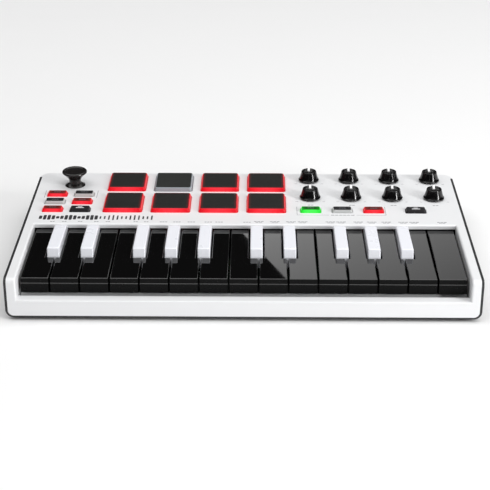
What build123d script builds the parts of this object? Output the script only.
from build123d import *
import os
from math import sqrt

# A 25-key desktop music keyboard with pads, knobs, buttons and a thumb joystick.
# Millimetres.  The origin is on the table, under the middle of the case.
# X runs to the player's right, Y away from the player, Z up.
# Places named *_FROM_FRONT are measured back from the front of the case.

# ------------------------------------------------------------------ driving sizes
CASE_WIDTH = 318.0
CASE_DEPTH = 181.0
PANEL_TOP = 30.5            # control panel above the table
FOOT_HEIGHT = 2.2
TRAY_FLOOR = 1.2            # thickness of the lower case's floor
TRAY_WALL = 1.6             # thickness of its side and rear walls
TRAY_EDGE_RADIUS = 5.5      # lower long edges of the case
REAR_CORNER_RADIUS = 8.0    # upright rear corners of the case
FRONT_TOP_RADIUS = 3.5      # front top edge of the cheeks
REAR_SKIRT_HEIGHT = 4.0     # the upper case laps over the rear wall by this much
TOP_EDGE_RADIUS = 0.6       # edge between the panel and that lap
SHELL_SEAM = 0.1            # gap between the upper and the lower case
PANEL_THICKNESS = 2.5
FRONT_WALL = 2.2

WELL_HALF_WIDTH = 151.0     # the keys' opening
WELL_REAR_FROM_FRONT = 87.65
WELL_WALL_DROP = 3.2        # the opening's rear wall reaches this far below the panel
LEDGE_DROP = 15.7           # the ledge in front of the keys, below the panel
LEDGE_DEPTH = 8.9
LEDGE_ROUND = 1.5
CHEEK_WALL = 2.0
WELL_RIM_RADIUS = 1.4
LEDGE_EDGE_RADIUS = 0.8

NATURAL_COUNT = 15
NATURAL_PITCH = 20.0
NATURAL_WIDTH = 18.7
NATURAL_FRONT = 9.6         # front face of the naturals, from the front of the case
NATURAL_DROP = 3.85         # key tops below the panel
NATURAL_LIP_HEIGHT = 3.5    # upper, set-back part of the front face
NATURAL_LIP_SETBACK = 0.6
NATURAL_FRONT_HEIGHT = 10.4
KEY_SKIRT_HEIGHT = 8.05     # depth of the keys' side skirts
KEY_FRONT_BLOCK = 3.0
KEY_WALL = 1.4
KEY_TOP_WALL = 2.2
KEY_TAIL_END = 104.0
KEY_SADDLE_START = 96.0
SHARP_GAP_NUMBERS = (1, 2, 4, 5, 6)              # which gaps of an octave hold a sharp
SHARP_OFFSETS = (-1.5, 1.6, -2.4, -0.4, 2.2)     # each sharp, from the middle of its gap
NATURALS_PER_OCTAVE = 7
OCTAVES = 2
SHARP_WIDTH = 8.6
SHARP_FRONT = 42.5
SHARP_SIDE_GAP = 1.2
SHARP_RISE = 5.85           # front of the sharps above the naturals
SHARP_REAR_RISE = 4.45
SHARP_REAR = 84.6
SHARP_SLOPE = 1.8

PIVOT_FROM_FRONT = 100.0
PIVOT_Z = 21.0
PIVOT_RADIUS = 2.0
PIVOT_CLEARANCE = 0.06
PIVOT_WEB = 1.6

CHASSIS_BOTTOM = 5.5
CHASSIS_THICKNESS = 2.0
CHASSIS_FRONT = 12.0
CHASSIS_REAR = 105.0
CHASSIS_HALF_WIDTH = 150.4
KEY_PLUNGER_FROM_FRONT = 62.0
KEY_PLUNGER_END = 14.3
KEY_PLUNGER_SIZE = (4.0, 3.0)

PAD_SIZE = (28.7, 30.4)
PAD_FIRST = (-89.8, 122.95)      # centre of the front left pad, Y from the front
PAD_PITCH = (35.1, 38.3)
PAD_COLUMNS = 4
PAD_ROWS = 2
PAD_RISE = 2.8
PAD_INSET = 0.9
PAD_CORNER = 1.6
PAD_TRAVEL = 0.8

BUTTON_SIZE = (15.0, 8.0)
BUTTON_RISE = 2.1
BUTTON_INSET = 0.9
BUTTON_CORNER = 1.0
BUTTON_TRAVEL = 1.0
LEFT_BUTTON_X = (-141.0, -120.9)
LEFT_BUTTON_Y = (111.9, 125.8, 139.4)            # from the front
RIGHT_BUTTON_X = (48.0, 71.0, 93.9, 124.7)
RIGHT_BUTTON_Y = 112.0                           # from the front

OPENING_GAP = 0.3           # round pads and buttons
FLANGE_LIP = 1.5            # flange of a pad beyond its opening edge
BUTTON_LIP = 0.8
FLANGE_THICKNESS = 1.5
FLANGE_CLEARANCE = 0.1      # below the panel

KNOB_X = (48.2, 78.7, 109.4, 140.3)
KNOB_Y = (134.8, 168.0)                          # from the front
KNOB_SKIRT_RADIUS = 7.75
KNOB_SKIRT_HEIGHT = 0.8     # upright edge at the foot of the skirt
KNOB_WAIST_RADIUS = 6.25    # half way up
KNOB_TOP_RADIUS = 5.65
KNOB_TOP_ROUND = 0.5
KNOB_LIFT = 0.8             # under the skirt
KNOB_TOP = 8.1              # above the panel
SHAFT_RADIUS = 3.0
SHAFT_CLEARANCE = 0.05
SHAFT_HOLE_RADIUS = 3.6

STICK_X = -129.9
STICK_FROM_FRONT = 157.8
STICK_PIVOT_DEPTH = 7.0     # below the panel
DOME_RADIUS = 10.0
DOME_WALL = 1.4
DOME_GAP = 0.35
STICK_SHAFT_RADIUS = 2.0
STICK_CAP_RADIUS = 9.4
STICK_TOP = 12.0            # above the panel
STICK_CAP_THICKNESS = 1.6   # at the rim
STICK_CAP_ROUND = 0.7
STICK_DISH_DEPTH = 1.1
STICK_FOOT = 3.6            # the shaft reaches this far below the pivot
STEM_FOOT_RADIUS = 4.3
STEM_WAIST_RADIUS = 3.85
STEM_WAIST_RISE = 1.6       # narrowest place above the dome
DOME_SKIRT = 1.0            # the dome reaches this far below the pivot
PIN_SHORT = 0.2             # pins end this far inside the piece that holds them
RING_RADIUS = 6.0
RING_BORE = 3.6
RING_HEIGHT = 3.0
RING_PIN_RADIUS = 0.8
RING_PIN_CLEARANCE = 0.05
HOUSING_RADIUS = 7.4
HOUSING_BORE = 6.4
HOUSING_RISE = 1.2          # rim above the pivot
HOUSING_FLOOR = 1.0

BOARD_TOP_DEPTH = 12.0      # main board below the panel
BOARD_THICKNESS = 1.6
BOARD_HALF_WIDTH = 146.0
BOARD_FRONT = 106.0
BOARD_REAR = 176.0
BOARD_HOLE_GAP = 0.2

SWITCH_SIZE = 6.0
SWITCH_HEIGHT = 3.5
SWITCH_PEG_RADIUS = 1.75
SWITCH_GAP = 0.1            # between a button pressed home and its switch
POT_SIZE = (10.0, 10.5)
POT_HEIGHT = 6.5
POT_SHAFT_LIFT = 2.0        # foot of the shaft above the board
POT_SHAFT_GAP = 0.2         # under the foot of the shaft
KNOB_BORE_ABOVE_PANEL = 6.0
SENSOR_INSET = 1.5
SENSOR_THICKNESS = 0.4
PAD_SENSOR_GAP = 1.1        # between a pad at rest and its sensor

KEY_BOARD_HALF_WIDTH = 149.0
KEY_BOARD_SPAN = (48.0, 76.0)                    # from the front
KEY_STRIP_SPAN = (56.0, 68.0)
KEY_STRIP_THICKNESS = 0.8
KEY_DOME_TOP = 11.0
KEY_DOME_RADIUS = 3.0

USB_X = -121.0
USB_BODY = (12.0, 16.4, 11.0)
USB_MOUTH = (8.5, 7.8)
USB_MOUTH_DEPTH = 9.5
USB_TONGUE = (5.6, 4.4, 3.2)
JACK_X = -90.0
JACK_BODY = (13.0, 31.0, 12.4)
JACK_NOSE_RADIUS = 4.6
JACK_BORE_RADIUS = 3.2
JACK_BORE_DEPTH = 30.0

FOOT_RADIUS = 6.5
FOOT_EDGE_RADIUS = 0.5
FOOT_X = 140.0
FOOT_FROM_FRONT = (14.0, 167.0)

BOSS_RADIUS = 2.5
CHASSIS_POST_RADIUS = 3.4
CHASSIS_POST_TOP = 12.0
SCREW_RADIUS = 1.3
SCREW_HEAD_RADIUS = 2.4
SCREW_HEAD_DEPTH = 1.2
SCREW_CROSS = (2.6, 0.5, 0.8)                    # length, width and depth of the recess
SCREW_GRIP = 7.0            # thread in the upper bosses at the rear and round the board
FRONT_SCREW_X = (-120.0, 0.0, 120.0)
FRONT_SCREW_FROM_FRONT = 5.6
FRONT_BOSS_SPLIT = 7.0      # where the upper and lower bosses meet
REAR_SCREW_X = (-150.5, 150.5)
REAR_SCREW_FROM_FRONT = 168.0
REAR_BOSS_SPLIT = 12.0
BOARD_SCREW_X = (-109.5, 35.5)
BOARD_SCREW_FROM_FRONT = (112.0, 165.0)
CHASSIS_SCREW_X = (-120.0, 120.0)
CHASSIS_SCREW_FROM_FRONT = (30.0, 88.0)

FRONT = -CASE_DEPTH / 2
REAR = CASE_DEPTH / 2
SHELL_BOTTOM = FOOT_HEIGHT
FLOOR_TOP = SHELL_BOTTOM + TRAY_FLOOR
CEILING = PANEL_TOP - PANEL_THICKNESS
BOARD_TOP = PANEL_TOP - BOARD_TOP_DEPTH
BOARD_BOTTOM = BOARD_TOP - BOARD_THICKNESS
NATURAL_TOP = PANEL_TOP - NATURAL_DROP
SKIRT_BOTTOM = NATURAL_TOP - KEY_SKIRT_HEIGHT
STICK_PIVOT_Z = PANEL_TOP - STICK_PIVOT_DEPTH
SWITCH_TOP = BOARD_TOP + SWITCH_HEIGHT
POT_TOP = BOARD_TOP + POT_HEIGHT
POT_SHAFT_END = BOARD_TOP + POT_SHAFT_LIFT
KNOB_BORE_TOP = PANEL_TOP + KNOB_BORE_ABOVE_PANEL
BIG = 500.0                 # longer than anything here
TOUCH = 0.01                # closer than this is the same place

LEDGE_TOP = PANEL_TOP - LEDGE_DROP
LEDGE_UNDERSIDE = LEDGE_TOP - FRONT_WALL

# Screws up through the floor into the upper case: x, y from the front, top of the lower
# post, foot and root of the upper boss, and the height of the screw's tip.
FRONT_BOSS = (FRONT_BOSS_SPLIT, FRONT_BOSS_SPLIT, LEDGE_UNDERSIDE, LEDGE_UNDERSIDE)
REAR_BOSS = (REAR_BOSS_SPLIT, REAR_BOSS_SPLIT, CEILING, REAR_BOSS_SPLIT + SCREW_GRIP)
CASE_SCREWS = [(x, FRONT_SCREW_FROM_FRONT) + FRONT_BOSS for x in FRONT_SCREW_X]
CASE_SCREWS += [(x, REAR_SCREW_FROM_FRONT) + REAR_BOSS for x in REAR_SCREW_X]
BOARD_SCREWS = [(x, y, BOARD_BOTTOM, BOARD_TOP, CEILING, BOARD_TOP + SCREW_GRIP)
                for x in BOARD_SCREW_X for y in BOARD_SCREW_FROM_FRONT]
CHASSIS_SCREWS = [(x, y) for x in CHASSIS_SCREW_X for y in CHASSIS_SCREW_FROM_FRONT]


# ------------------------------------------------------------------ helpers
def block(x0, x1, y0, y1, z0, z1):
    """A box between two corners; y0 and y1 are measured from the front of the case."""
    box = Box(x1 - x0, y1 - y0, z1 - z0)
    return Pos((x0 + x1) / 2, FRONT + (y0 + y1) / 2, (z0 + z1) / 2) * box


def column(x, y, z0, z1, radius):
    """An upright cylinder; y is measured from the front of the case."""
    return Pos(x, FRONT + y, (z0 + z1) / 2) * Cylinder(radius, z1 - z0)


def side_prism(points, x0, x1):
    """A side outline of (distance from the front, height) points, drawn out along X."""
    outline = make_face(Polyline([(FRONT + y, z) for y, z in points], close=True))
    return Pos(x0, 0, 0) * extrude(Plane.YZ * outline, x1 - x0)


def frustum(x, y, size, corner, inset, z0, z1):
    """A rounded rectangular block that narrows by inset on each side from z0 to z1."""
    width, depth = size
    place = Pos(x, FRONT + y, z0)
    lower = place * RectangleRounded(width, depth, corner)
    upper = place * Pos(0, 0, z1 - z0) * RectangleRounded(width - 2 * inset, depth - 2 * inset, corner)
    return loft([lower, upper])


def plate(x, y, size, corner, z0, z1):
    """A rounded rectangular plate."""
    return Pos(x, FRONT + y, z0) * extrude(RectangleRounded(size[0], size[1], corner), z1 - z0)


def one_solid(shape):
    """The single solid that a boolean result should hold."""
    solids = shape.solids()
    if len(solids) != 1:
        raise ValueError(f"expected one solid, found {len(solids)}")
    return solids[0]


# ------------------------------------------------------------------ case
def case_block(inset, bottom, top=PANEL_TOP, front=0.0):
    """The outside of the case drawn in by inset at the sides, rear and lower edges."""
    half = CASE_WIDTH / 2 - inset
    body = block(-half, half, front, CASE_DEPTH - inset, bottom, top)
    uprights = body.edges().filter_by(Axis.Z).group_by(Axis.Y)[-1]
    body = fillet(uprights, REAR_CORNER_RADIUS - inset)
    underside = body.faces().sort_by(Axis.Z)[0]
    front_edge = underside.edges().sort_by(Axis.Y)[0]
    return fillet([edge for edge in underside.edges() if edge != front_edge], TRAY_EDGE_RADIUS - inset)


def round_front(body):
    """Round the top front edge of a case block."""
    front_face = body.faces().sort_by(Axis.Y)[0]
    return fillet(front_face.edges().sort_by(Axis.Z)[-1], FRONT_TOP_RADIUS)


def rear_band(seam):
    """The top of the rear wall and rear corners, which the upper case laps over."""
    start = CASE_DEPTH - REAR_CORNER_RADIUS - seam
    return block(-BIG, BIG, start, BIG, PANEL_TOP - REAR_SKIRT_HEIGHT - seam, PANEL_TOP + 1)


def countersunk_pin(x, y, top):
    """A screw, head down and flush with the floor's underside, or the hole for it."""
    cone = Pos(x, FRONT + y, SHELL_BOTTOM + SCREW_HEAD_DEPTH / 2)
    cone = cone * Cone(SCREW_HEAD_RADIUS, SCREW_RADIUS, SCREW_HEAD_DEPTH)
    return cone + column(x, y, SHELL_BOTTOM, top, SCREW_RADIUS)


def make_bottom_case():
    """The dark tray: floor, side walls and rear wall, with its bosses and socket holes."""
    tray = round_front(case_block(0, SHELL_BOTTOM))
    tray -= case_block(TRAY_WALL, FLOOR_TOP, PANEL_TOP + 1, -1)
    tray -= rear_band(SHELL_SEAM)
    for x, y, post_top, *_ in CASE_SCREWS + BOARD_SCREWS:
        tray += column(x, y, SHELL_BOTTOM, post_top, BOSS_RADIUS)
        tray -= countersunk_pin(x, y, post_top + 1)
    for x, y in CHASSIS_SCREWS:
        tray -= countersunk_pin(x, y, FLOOR_TOP + 1)
    usb_z = BOARD_BOTTOM - USB_BODY[2] / 2
    usb_half = USB_BODY[0] / 2 + SHELL_SEAM
    usb_half_height = USB_BODY[2] / 2 + SHELL_SEAM
    tray -= block(USB_X - usb_half, USB_X + usb_half, CASE_DEPTH - 2 * TRAY_WALL, CASE_DEPTH + 1,
                  usb_z - usb_half_height, usb_z + usb_half_height)
    jack_z = BOARD_BOTTOM - JACK_BODY[2] / 2
    hole = Cylinder(JACK_NOSE_RADIUS + SHELL_SEAM, 4 * TRAY_WALL, rotation=(90, 0, 0))
    tray -= Pos(JACK_X, REAR, jack_z) * hole
    for x, size in ((USB_X, USB_BODY), (JACK_X, JACK_BODY)):
        half = size[0] / 2 + SHELL_SEAM
        seat = BOARD_BOTTOM - size[2] - SHELL_SEAM
        start = CASE_DEPTH - TRAY_EDGE_RADIUS
        tray -= block(x - half, x + half, start, CASE_DEPTH - TRAY_WALL, seat, BOARD_BOTTOM)
    return one_solid(tray)


def panel_openings():
    """Everything that is cut through the control panel."""
    low, high = CEILING - 1, PANEL_TOP + 1
    cuts = []
    for x, y in pad_centres():
        size = (PAD_SIZE[0] + 2 * OPENING_GAP, PAD_SIZE[1] + 2 * OPENING_GAP)
        cuts.append(plate(x, y, size, PAD_CORNER + OPENING_GAP, low, high))
    for x, y in button_centres():
        size = (BUTTON_SIZE[0] + 2 * OPENING_GAP, BUTTON_SIZE[1] + 2 * OPENING_GAP)
        cuts.append(plate(x, y, size, BUTTON_CORNER + OPENING_GAP, low, high))
    for x, y in knob_centres():
        cuts.append(column(x, y, low, high, SHAFT_HOLE_RADIUS))
    cuts.append(Pos(STICK_X, FRONT + STICK_FROM_FRONT, STICK_PIVOT_Z) * Sphere(DOME_RADIUS + DOME_GAP))
    return cuts


def soften_well(shell):
    """Round the long edges round the keys: cheeks, rear wall and ledge."""
    def on_rim(edge):
        middle = edge.center()
        at_cheek = abs(abs(middle.X) - WELL_HALF_WIDTH) < TOUCH
        at_wall = abs(middle.Y - FRONT - WELL_REAR_FROM_FRONT) < TOUCH and abs(middle.X) < TOUCH
        return abs(middle.Z - PANEL_TOP) < TOUCH and (at_cheek or at_wall)

    shell = fillet(shell.edges().filter_by(on_rim), WELL_RIM_RADIUS)
    ledge_edge = shell.edges().filter_by(Axis.X).filter_by(
        lambda edge: abs(edge.center().Y - FRONT) < TOUCH and abs(edge.center().Z - LEDGE_TOP) < TOUCH)
    return fillet(ledge_edge, LEDGE_EDGE_RADIUS)


def rear_lap():
    """The part of the upper case that forms the top of the rear wall, with its edge rounded."""
    outer = case_block(0, SHELL_BOTTOM)
    panel_edges = outer.faces().sort_by(Axis.Z)[-1].edges()
    rear_edges = panel_edges.filter_by(lambda edge: edge.center().Y > REAR - REAR_CORNER_RADIUS)
    outer = fillet(rear_edges, TOP_EDGE_RADIUS)
    return (outer - case_block(TRAY_WALL + SHELL_SEAM, FLOOR_TOP, PANEL_TOP + 1, -1)) & rear_band(0)


def make_top_case():
    """The white upper case: control panel, cheeks, front wall and the ledge before the keys."""
    shell = round_front(case_block(TRAY_WALL + SHELL_SEAM, FLOOR_TOP + SHELL_SEAM))
    wall_bottom = PANEL_TOP - WELL_WALL_DROP
    wall_back = WELL_REAR_FROM_FRONT + CHEEK_WALL
    well = [(-1, LEDGE_TOP), (LEDGE_DEPTH - LEDGE_ROUND, LEDGE_TOP), (LEDGE_DEPTH, LEDGE_TOP - LEDGE_ROUND),
            (LEDGE_DEPTH, 0), (WELL_REAR_FROM_FRONT, 0), (WELL_REAR_FROM_FRONT, PANEL_TOP + 1),
            (-1, PANEL_TOP + 1)]
    shell -= side_prism(well, -WELL_HALF_WIDTH, WELL_HALF_WIDTH)
    shell = soften_well(shell)
    shell -= block(-BIG, BIG, FRONT_WALL, LEDGE_DEPTH + 1, 0, LEDGE_UNDERSIDE)
    shell -= block(-WELL_HALF_WIDTH, WELL_HALF_WIDTH, WELL_REAR_FROM_FRONT - 1, wall_back, 0, wall_bottom)
    shell -= block(-BIG, BIG, wall_back, BIG, 0, CEILING)
    shell += rear_lap()
    cheek_inside = WELL_HALF_WIDTH + CHEEK_WALL
    for x0, x1 in ((-BIG, -cheek_inside), (cheek_inside, BIG)):
        shell -= block(x0, x1, FRONT_WALL, BIG, 0, CEILING)
    for x, y, _, boss_foot, boss_root, tip in CASE_SCREWS + BOARD_SCREWS:
        shell += column(x, y, boss_foot, boss_root + 1, BOSS_RADIUS)
        shell -= column(x, y, 0, tip, SCREW_RADIUS)
    for cut in panel_openings():
        shell -= cut
    return one_solid(shell)


def make_screws():
    """The case screws, the longer ones round the board, and the chassis screws."""
    tips = [(x, y, tip) for x, y, _, _, _, tip in CASE_SCREWS + BOARD_SCREWS]
    tips += [(x, y, CHASSIS_POST_TOP) for x, y in CHASSIS_SCREWS]
    length, width, depth = SCREW_CROSS
    screws = []
    for x, y, tip in tips:
        screw = countersunk_pin(x, y, tip)
        for along_x, along_y in ((length, width), (width, length)):
            screw -= block(x - along_x / 2, x + along_x / 2, y - along_y / 2, y + along_y / 2,
                           SHELL_BOTTOM - 1, SHELL_BOTTOM + depth)
        screws.append(one_solid(screw))
    return screws


def make_feet():
    feet = []
    for sign in (-1, 1):
        for y in FOOT_FROM_FRONT:
            foot = column(sign * FOOT_X, y, 0, FOOT_HEIGHT, FOOT_RADIUS)
            feet.append(one_solid(fillet(foot.edges().sort_by(Axis.Z)[0], FOOT_EDGE_RADIUS)))
    return feet


# ------------------------------------------------------------------ keys
def natural_centre(number):
    return (number - (NATURAL_COUNT - 1) / 2) * NATURAL_PITCH


def sharp_centres():
    """X of each sharp, from the left."""
    left = -NATURAL_COUNT * NATURAL_PITCH / 2
    centres = []
    for octave in range(OCTAVES):
        for gap, offset in zip(SHARP_GAP_NUMBERS, SHARP_OFFSETS):
            centres.append(left + (octave * NATURALS_PER_OCTAVE + gap) * NATURAL_PITCH + offset)
    return centres


def tail_span(number):
    """Left and right X of a natural's tail, which is cut back beside each sharp."""
    centre = natural_centre(number)
    left, right = centre - NATURAL_WIDTH / 2, centre + NATURAL_WIDTH / 2
    reach = SHARP_WIDTH / 2 + SHARP_SIDE_GAP
    for sharp in sharp_centres():
        if centre - NATURAL_PITCH < sharp < centre:
            left = max(left, sharp + reach)
        if centre < sharp < centre + NATURAL_PITCH:
            right = min(right, sharp - reach)
    return left, right


def saddle_cut(x0, x1):
    """The half-round seat with which a key rides on the pivot rail."""
    length = x1 - x0 + 2
    seat = Cylinder(PIVOT_RADIUS + PIVOT_CLEARANCE, length, rotation=(0, 90, 0))
    return Pos((x0 + x1) / 2, FRONT + PIVOT_FROM_FRONT, PIVOT_Z) * seat


def key_plunger(x):
    """The peg under a key that works its contact."""
    width, depth = KEY_PLUNGER_SIZE
    return block(x - width / 2, x + width / 2, KEY_PLUNGER_FROM_FRONT - depth / 2,
                 KEY_PLUNGER_FROM_FRONT + depth / 2, KEY_PLUNGER_END, NATURAL_TOP - KEY_TOP_WALL)


def key_tail(outline):
    """The points of a key's outline from its tail end back under the seat to the skirt."""
    return outline + [(KEY_TAIL_END, PIVOT_Z), (KEY_SADDLE_START, PIVOT_Z), (KEY_SADDLE_START, SKIRT_BOTTOM)]


def make_natural(number):
    centre = natural_centre(number)
    left, right = centre - NATURAL_WIDTH / 2, centre + NATURAL_WIDTH / 2
    tail_left, tail_right = tail_span(number)
    front_block_end = NATURAL_FRONT + KEY_FRONT_BLOCK
    set_back = NATURAL_FRONT + NATURAL_LIP_SETBACK
    lip_bottom = NATURAL_TOP - NATURAL_LIP_HEIGHT
    front_bottom = NATURAL_TOP - NATURAL_FRONT_HEIGHT
    outline = key_tail([(NATURAL_FRONT, front_bottom), (NATURAL_FRONT, lip_bottom), (set_back, lip_bottom),
                        (set_back, NATURAL_TOP), (KEY_TAIL_END, NATURAL_TOP)])
    outline += [(front_block_end, SKIRT_BOTTOM), (front_block_end, front_bottom)]
    key = side_prism(outline, left, right)
    notch_start = SHARP_FRONT - SHARP_SIDE_GAP
    if tail_left > left:
        key -= block(left - 1, tail_left, notch_start, KEY_TAIL_END + 1, 0, PANEL_TOP)
    if tail_right < right:
        key -= block(tail_right, right + 1, notch_start, KEY_TAIL_END + 1, 0, PANEL_TOP)
    ceiling = NATURAL_TOP - KEY_TOP_WALL
    hollow_end = notch_start - KEY_WALL
    key -= block(left + KEY_WALL, right - KEY_WALL, front_block_end, hollow_end, 0, ceiling)
    key -= block(tail_left + KEY_WALL, tail_right - KEY_WALL, hollow_end - 1, KEY_SADDLE_START, 0, ceiling)
    key -= saddle_cut(tail_left, tail_right)
    key += key_plunger((tail_left + tail_right) / 2)
    return one_solid(key)


def make_sharp(centre):
    left, right = centre - SHARP_WIDTH / 2, centre + SHARP_WIDTH / 2
    top = NATURAL_TOP + SHARP_RISE
    rear_top = NATURAL_TOP + SHARP_REAR_RISE
    outline = key_tail([(SHARP_FRONT, SKIRT_BOTTOM), (SHARP_FRONT, NATURAL_TOP),
                        (SHARP_FRONT + SHARP_SLOPE, top), (SHARP_REAR, rear_top),
                        (SHARP_REAR + SHARP_SLOPE, NATURAL_TOP), (KEY_TAIL_END, NATURAL_TOP)])
    key = side_prism(outline, left, right)
    ceiling = NATURAL_TOP - KEY_TOP_WALL
    key -= block(left + KEY_WALL, right - KEY_WALL, SHARP_FRONT + KEY_WALL, KEY_SADDLE_START, 0, ceiling)
    key -= saddle_cut(left, right)
    key += key_plunger(centre)
    return one_solid(key)


def make_key_chassis():
    """The plate under the keys, its posts, and the rail that the keys pivot on."""
    top = CHASSIS_BOTTOM + CHASSIS_THICKNESS
    frame = block(-CHASSIS_HALF_WIDTH, CHASSIS_HALF_WIDTH, CHASSIS_FRONT, CHASSIS_REAR, CHASSIS_BOTTOM, top)
    frame += block(-CHASSIS_HALF_WIDTH, CHASSIS_HALF_WIDTH, PIVOT_FROM_FRONT - PIVOT_WEB / 2,
                   PIVOT_FROM_FRONT + PIVOT_WEB / 2, CHASSIS_BOTTOM, PIVOT_Z)
    rail = Cylinder(PIVOT_RADIUS, 2 * CHASSIS_HALF_WIDTH, rotation=(0, 90, 0))
    frame += Pos(0, FRONT + PIVOT_FROM_FRONT, PIVOT_Z) * rail
    for x, y in CHASSIS_SCREWS:
        frame += column(x, y, FLOOR_TOP, CHASSIS_POST_TOP, CHASSIS_POST_RADIUS)
        frame -= column(x, y, 0, CHASSIS_POST_TOP, SCREW_RADIUS)
    return one_solid(frame)


# ------------------------------------------------------------------ controls
def pad_centres():
    return [(PAD_FIRST[0] + column_number * PAD_PITCH[0], PAD_FIRST[1] + row * PAD_PITCH[1])
            for row in range(PAD_ROWS) for column_number in range(PAD_COLUMNS)]


def button_centres():
    left_block = [(x, y) for y in LEFT_BUTTON_Y for x in LEFT_BUTTON_X]
    return left_block + [(x, RIGHT_BUTTON_Y) for x in RIGHT_BUTTON_X]


def knob_centres():
    return [(x, y) for y in KNOB_Y for x in KNOB_X]


def make_pad(x, y):
    """A silicone pad: raised top, flange under the panel and the block over its sensor."""
    flange_top = CEILING - FLANGE_CLEARANCE
    flange_bottom = flange_top - FLANGE_THICKNESS
    flange = (PAD_SIZE[0] + 2 * FLANGE_LIP, PAD_SIZE[1] + 2 * FLANGE_LIP)
    core = (PAD_SIZE[0] - 4 * FLANGE_LIP, PAD_SIZE[1] - 4 * FLANGE_LIP)
    pad = frustum(x, y, PAD_SIZE, PAD_CORNER, PAD_INSET, PANEL_TOP, PANEL_TOP + PAD_RISE)
    pad += plate(x, y, PAD_SIZE, PAD_CORNER, flange_bottom, PANEL_TOP)
    pad += plate(x, y, flange, PAD_CORNER, flange_bottom, flange_top)
    pad += plate(x, y, core, PAD_CORNER, BOARD_TOP + SENSOR_THICKNESS + PAD_SENSOR_GAP, flange_bottom)
    return one_solid(pad)


def make_button(x, y):
    """A button cap: raised top, flange under the panel and the peg over its switch."""
    flange_top = CEILING - FLANGE_CLEARANCE
    flange_bottom = flange_top - FLANGE_THICKNESS
    flange = (BUTTON_SIZE[0] + 2 * BUTTON_LIP, BUTTON_SIZE[1] + 2 * BUTTON_LIP)
    button = frustum(x, y, BUTTON_SIZE, BUTTON_CORNER, BUTTON_INSET, PANEL_TOP, PANEL_TOP + BUTTON_RISE)
    button += plate(x, y, BUTTON_SIZE, BUTTON_CORNER, flange_bottom, PANEL_TOP)
    button += plate(x, y, flange, BUTTON_CORNER, flange_bottom, flange_top)
    button += column(x, y, SWITCH_TOP + BUTTON_TRAVEL + SWITCH_GAP, flange_bottom, SWITCH_PEG_RADIUS)
    return one_solid(button)


def make_knob(x, y):
    """A flared knob and the shaft that it is pressed onto."""
    base = PANEL_TOP + KNOB_LIFT
    top = PANEL_TOP + KNOB_TOP
    foot = (KNOB_SKIRT_RADIUS, base)
    skirt = (KNOB_SKIRT_RADIUS, base + KNOB_SKIRT_HEIGHT)
    waist = (KNOB_WAIST_RADIUS, (base + top) / 2)
    shoulder = (KNOB_TOP_RADIUS, top - KNOB_TOP_ROUND)
    rim = (KNOB_TOP_RADIUS - KNOB_TOP_ROUND, top)
    outline = make_face([
        Line((0, base), foot),
        Line(foot, skirt),
        Spline(skirt, waist, shoulder),
        Line(shoulder, rim),
        Line(rim, (0, top)),
        Line((0, top), (0, base)),
    ])
    cap = Pos(x, FRONT + y, 0) * revolve(Plane.XZ * outline, Axis.Z)
    cap -= column(x, y, base - 1, KNOB_BORE_TOP, SHAFT_RADIUS)
    shaft = column(x, y, POT_SHAFT_END, KNOB_BORE_TOP, SHAFT_RADIUS)
    return [one_solid(cap), one_solid(shaft)]


def at_stick(shape):
    """Place a shape that is made about the joystick's pivot."""
    return Pos(STICK_X, FRONT + STICK_FROM_FRONT, STICK_PIVOT_Z) * shape


def on_circle(radius, across=None, height=None):
    """A point (across, height) on a circle about the pivot, from one of its two places."""
    if across is None:
        return sqrt(radius ** 2 - height ** 2), height
    return across, sqrt(radius ** 2 - across ** 2)


def make_joystick():
    """The thumb stick: shaft, dome that covers the panel's hole, flared stem and cap."""
    inner = DOME_RADIUS - DOME_WALL
    foot = (STICK_SHAFT_RADIUS, -STICK_FOOT)
    dome_inside_top = on_circle(inner, across=STICK_SHAFT_RADIUS)
    dome_inside_rim = on_circle(inner, height=-DOME_SKIRT)
    dome_rim = on_circle(DOME_RADIUS, height=-DOME_SKIRT)
    stem_foot = on_circle(DOME_RADIUS, across=STEM_FOOT_RADIUS)
    cap_top = STICK_PIVOT_DEPTH + STICK_TOP
    cap_under = (STICK_CAP_RADIUS, cap_top - STICK_CAP_THICKNESS)
    stem_waist = (STEM_WAIST_RADIUS, stem_foot[1] + STEM_WAIST_RISE)
    rim_out = (STICK_CAP_RADIUS, cap_top - STICK_CAP_ROUND)
    rim_top = (STICK_CAP_RADIUS - STICK_CAP_ROUND, cap_top)
    dish_edge = (STICK_CAP_RADIUS - 2 * STICK_CAP_ROUND, cap_top)
    dish_middle = (0, cap_top - STICK_DISH_DEPTH)
    outline = make_face([
        Line((0, -STICK_FOOT), foot),
        Line(foot, dome_inside_top),
        RadiusArc(dome_inside_top, dome_inside_rim, inner),
        Line(dome_inside_rim, dome_rim),
        RadiusArc(dome_rim, stem_foot, -DOME_RADIUS),
        Spline(stem_foot, stem_waist, cap_under, tangents=((-0.5, 1), (1, 0.6))),
        Line(cap_under, rim_out),
        RadiusArc(rim_out, rim_top, -STICK_CAP_ROUND),
        Line(rim_top, dish_edge),
        Spline(dish_edge, dish_middle, tangents=((-1, -0.2), (-1, 0))),
        Line(dish_middle, (0, -STICK_FOOT)),
    ])
    stick = revolve(Plane.XZ * outline, Axis.Z)
    stick += Cylinder(RING_PIN_RADIUS, 2 * (RING_RADIUS - PIN_SHORT), rotation=(0, 90, 0))
    return one_solid(at_stick(stick))


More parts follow.
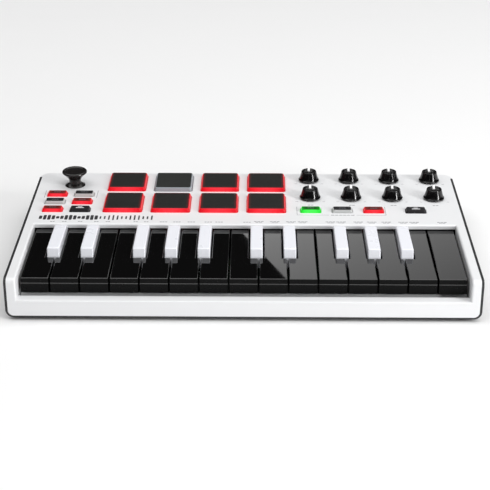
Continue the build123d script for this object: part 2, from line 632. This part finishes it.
def make_joystick_gimbal():
    """The ring between the housing and the stick, with its own pair of pins."""
    ring = Cylinder(RING_RADIUS, RING_HEIGHT) - Cylinder(RING_BORE, RING_HEIGHT)
    pins = Cylinder(RING_PIN_RADIUS, 2 * (HOUSING_RADIUS - PIN_SHORT), rotation=(90, 0, 0))
    ring += pins - Cylinder((RING_RADIUS + RING_BORE) / 2, RING_HEIGHT)
    ring -= Cylinder(RING_PIN_RADIUS + RING_PIN_CLEARANCE, 2 * HOUSING_RADIUS, rotation=(0, 90, 0))
    return one_solid(at_stick(ring))


# ------------------------------------------------------------------ electronics
def make_joystick_housing():
    height = STICK_PIVOT_Z + HOUSING_RISE - BOARD_TOP
    cup = Cylinder(HOUSING_RADIUS, height) - Pos(0, 0, HOUSING_FLOOR) * Cylinder(HOUSING_BORE, height)
    cup = Pos(0, 0, BOARD_TOP + height / 2 - STICK_PIVOT_Z) * cup
    cup -= Cylinder(RING_PIN_RADIUS + RING_PIN_CLEARANCE, 3 * HOUSING_RADIUS, rotation=(90, 0, 0))
    return one_solid(at_stick(cup))


def make_pot(x, y):
    """The body of one rotary control."""
    width, depth = POT_SIZE
    body = block(x - width / 2, x + width / 2, y - depth / 2, y + depth / 2, BOARD_TOP, POT_TOP)
    bore = column(x, y, POT_SHAFT_END - POT_SHAFT_GAP, POT_TOP + 1, SHAFT_RADIUS + SHAFT_CLEARANCE)
    return one_solid(body - bore)


def make_main_board():
    board = block(-BOARD_HALF_WIDTH, BOARD_HALF_WIDTH, BOARD_FRONT, BOARD_REAR, BOARD_BOTTOM, BOARD_TOP)
    for x, y, *_ in BOARD_SCREWS:
        board -= column(x, y, 0, BIG, SCREW_RADIUS + BOARD_HOLE_GAP)
    return one_solid(board)


def make_key_board():
    """The board under the keys, and the rubber strip with one dome for each key."""
    board_bottom = CHASSIS_BOTTOM + CHASSIS_THICKNESS
    board_top = board_bottom + BOARD_THICKNESS
    half = KEY_BOARD_HALF_WIDTH
    board = block(-half, half, *KEY_BOARD_SPAN, board_bottom, board_top)
    strip = block(-half, half, *KEY_STRIP_SPAN, board_top, board_top + KEY_STRIP_THICKNESS)
    naturals = [sum(tail_span(number)) / 2 for number in range(NATURAL_COUNT)]
    for x in naturals + sharp_centres():
        strip += column(x, KEY_PLUNGER_FROM_FRONT, board_top, KEY_DOME_TOP, KEY_DOME_RADIUS)
    return [one_solid(board), one_solid(strip)]


def make_circuit_boards():
    """Both boards with what is soldered or laid on them."""
    pieces = [make_main_board()] + make_key_board() + [make_joystick_housing()]
    for x, y in knob_centres():
        pieces.append(make_pot(x, y))
    half = SWITCH_SIZE / 2
    for x, y in button_centres():
        pieces.append(one_solid(block(x - half, x + half, y - half, y + half, BOARD_TOP, SWITCH_TOP)))
    for x, y in pad_centres():
        half_width = PAD_SIZE[0] / 2 - SENSOR_INSET
        half_depth = PAD_SIZE[1] / 2 - SENSOR_INSET
        pieces.append(one_solid(block(x - half_width, x + half_width, y - half_depth, y + half_depth,
                                      BOARD_TOP, BOARD_TOP + SENSOR_THICKNESS)))
    return pieces


def make_usb_socket():
    width, depth, height = USB_BODY
    z = BOARD_BOTTOM - height / 2
    body = block(USB_X - width / 2, USB_X + width / 2, CASE_DEPTH - depth, CASE_DEPTH, BOARD_BOTTOM - height,
                 BOARD_BOTTOM)
    mouth_start = CASE_DEPTH - USB_MOUTH_DEPTH
    body -= block(USB_X - USB_MOUTH[0] / 2, USB_X + USB_MOUTH[0] / 2, mouth_start, CASE_DEPTH + 1,
                  z - USB_MOUTH[1] / 2, z + USB_MOUTH[1] / 2)
    tongue_width, tongue_length, tongue_height = USB_TONGUE
    body += block(USB_X - tongue_width / 2, USB_X + tongue_width / 2, mouth_start - 1,
                  mouth_start + tongue_length, z - tongue_height / 2, z + tongue_height / 2)
    return one_solid(body)


def make_pedal_jack():
    width, depth, height = JACK_BODY
    z = BOARD_BOTTOM - height / 2
    inner = CASE_DEPTH - TRAY_WALL
    body = block(JACK_X - width / 2, JACK_X + width / 2, inner - depth, inner, z - height / 2, z + height / 2)
    nose = Cylinder(JACK_NOSE_RADIUS, 2 * TRAY_WALL, rotation=(90, 0, 0))
    body += Pos(JACK_X, REAR - TRAY_WALL, z) * nose
    bore = Cylinder(JACK_BORE_RADIUS, JACK_BORE_DEPTH, rotation=(90, 0, 0))
    return one_solid(body - Pos(JACK_X, REAR - JACK_BORE_DEPTH / 2, z) * bore)


# ------------------------------------------------------------------ write the nodes
def all_nodes():
    """Every node's name with its solids."""
    nodes = {
        "bottom_case": [make_bottom_case()],
        "top_case": [make_top_case()],
        "key_chassis": [make_key_chassis()],
        "circuit_boards": make_circuit_boards(),
        "rear_sockets": [make_usb_socket(), make_pedal_jack()],
        "rubber_feet": make_feet(),
        "case_screws": make_screws(),
        "joystick_gimbal": [make_joystick_gimbal()],
        "joystick": [make_joystick()],
    }
    for number in range(NATURAL_COUNT):
        nodes[f"natural_key_{number + 1:02d}"] = [make_natural(number)]
    for number, centre in enumerate(sharp_centres(), 1):
        nodes[f"sharp_key_{number:02d}"] = [make_sharp(centre)]
    for number, (x, y) in enumerate(pad_centres(), 1):
        nodes[f"pad_{number}"] = [make_pad(x, y)]
    for number, (x, y) in enumerate(button_centres(), 1):
        nodes[f"button_{number:02d}"] = [make_button(x, y)]
    for number, (x, y) in enumerate(knob_centres(), 1):
        nodes[f"knob_{number}"] = make_knob(x, y)
    return nodes


os.makedirs("parts", exist_ok=True)
for name, solids in all_nodes().items():
    shape = solids[0] if len(solids) == 1 else Compound(children=solids)
    export_step(shape, f"parts/{name}.step")
